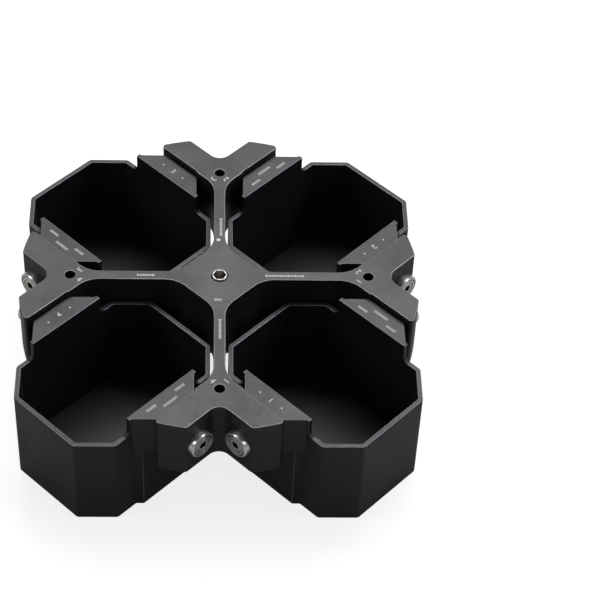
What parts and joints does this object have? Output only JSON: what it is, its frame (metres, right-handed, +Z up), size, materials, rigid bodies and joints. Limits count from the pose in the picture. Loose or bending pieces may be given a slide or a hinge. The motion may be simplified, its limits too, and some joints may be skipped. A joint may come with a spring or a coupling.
{
  "type": "swing-out centrifuge rotor",
  "caption": "Swing-out rotor: a one-piece cross with forked arms, deep octagonal buckets hung on trunnions, and a hub with a captive lock screw.",
  "frame": {"origin": "centre of the hub's underside, at the mouth of the drive bore", "axes": "+Z up along the rotor axis, +X and +Y along two arms; bucket 1 hangs between +X and -Y, and the others follow anticlockwise seen from above"},
  "size_m": [0.2696, 0.2696, 0.0935],
  "materials": {
    "cross_anodised": "machined and black anodised, satin",
    "bucket_anodised": "machined and blue-black anodised, satin",
    "hub_ivory": "turned, ivory chromate coat",
    "trunnion_dark": "turned, bronze-black coat, satin",
    "stainless": "turned and polished stainless steel",
    "spring_steel": "oiled spring steel"
  },
  "bodies": {
    "rotor": {"rotor_cross": "cross_anodised", "hub_disc": "hub_ivory", "hub_screws": "stainless", "thrust_washer": "spring_steel", "trunnion_1_left": "trunnion_dark", "collar_1_left": "stainless", "collar_screw_1_left": "stainless", "trunnion_1_right": "trunnion_dark", "collar_1_right": "stainless", "collar_screw_1_right": "stainless", "trunnion_2_left": "trunnion_dark", "collar_2_left": "stainless", "collar_screw_2_left": "stainless", "trunnion_2_right": "trunnion_dark", "collar_2_right": "stainless", "collar_screw_2_right": "stainless", "trunnion_3_left": "trunnion_dark", "collar_3_left": "stainless", "collar_screw_3_left": "stainless", "trunnion_3_right": "trunnion_dark", "collar_3_right": "stainless", "collar_screw_3_right": "stainless", "trunnion_4_left": "trunnion_dark", "collar_4_left": "stainless", "collar_screw_4_left": "stainless", "trunnion_4_right": "trunnion_dark", "collar_4_right": "stainless", "collar_screw_4_right": "stainless"},
    "lock_screw": {"lock_screw": "stainless", "retaining_ring": "spring_steel"},
    "bucket_1": {"bucket_1": "bucket_anodised"},
    "bucket_2": {"bucket_2": "bucket_anodised"},
    "bucket_3": {"bucket_3": "bucket_anodised"},
    "bucket_4": {"bucket_4": "bucket_anodised"}
  },
  "joints": [
    {"name": "bucket_1_swing", "type": "hinge", "parent": "rotor", "child": "bucket_1", "pos_m": [0.0693, -0.0693, 0.02865], "axis": [-0.7071, -0.7071, 0], "range_deg": [0, 90]},
    {"name": "bucket_2_swing", "type": "hinge", "parent": "rotor", "child": "bucket_2", "pos_m": [0.0693, 0.0693, 0.02865], "axis": [0.7071, -0.7071, 0], "range_deg": [0, 90]},
    {"name": "bucket_3_swing", "type": "hinge", "parent": "rotor", "child": "bucket_3", "pos_m": [-0.0693, 0.0693, 0.02865], "axis": [0.7071, 0.7071, 0], "range_deg": [0, 90]},
    {"name": "bucket_4_swing", "type": "hinge", "parent": "rotor", "child": "bucket_4", "pos_m": [-0.0693, -0.0693, 0.02865], "axis": [-0.7071, 0.7071, 0], "range_deg": [0, 90]},
    {"name": "lock_screw_turn", "type": "hinge", "parent": "rotor", "child": "lock_screw", "pos_m": [0, 0, 0.051], "axis": [0, 0, 1], "continuous": true}
  ]
}
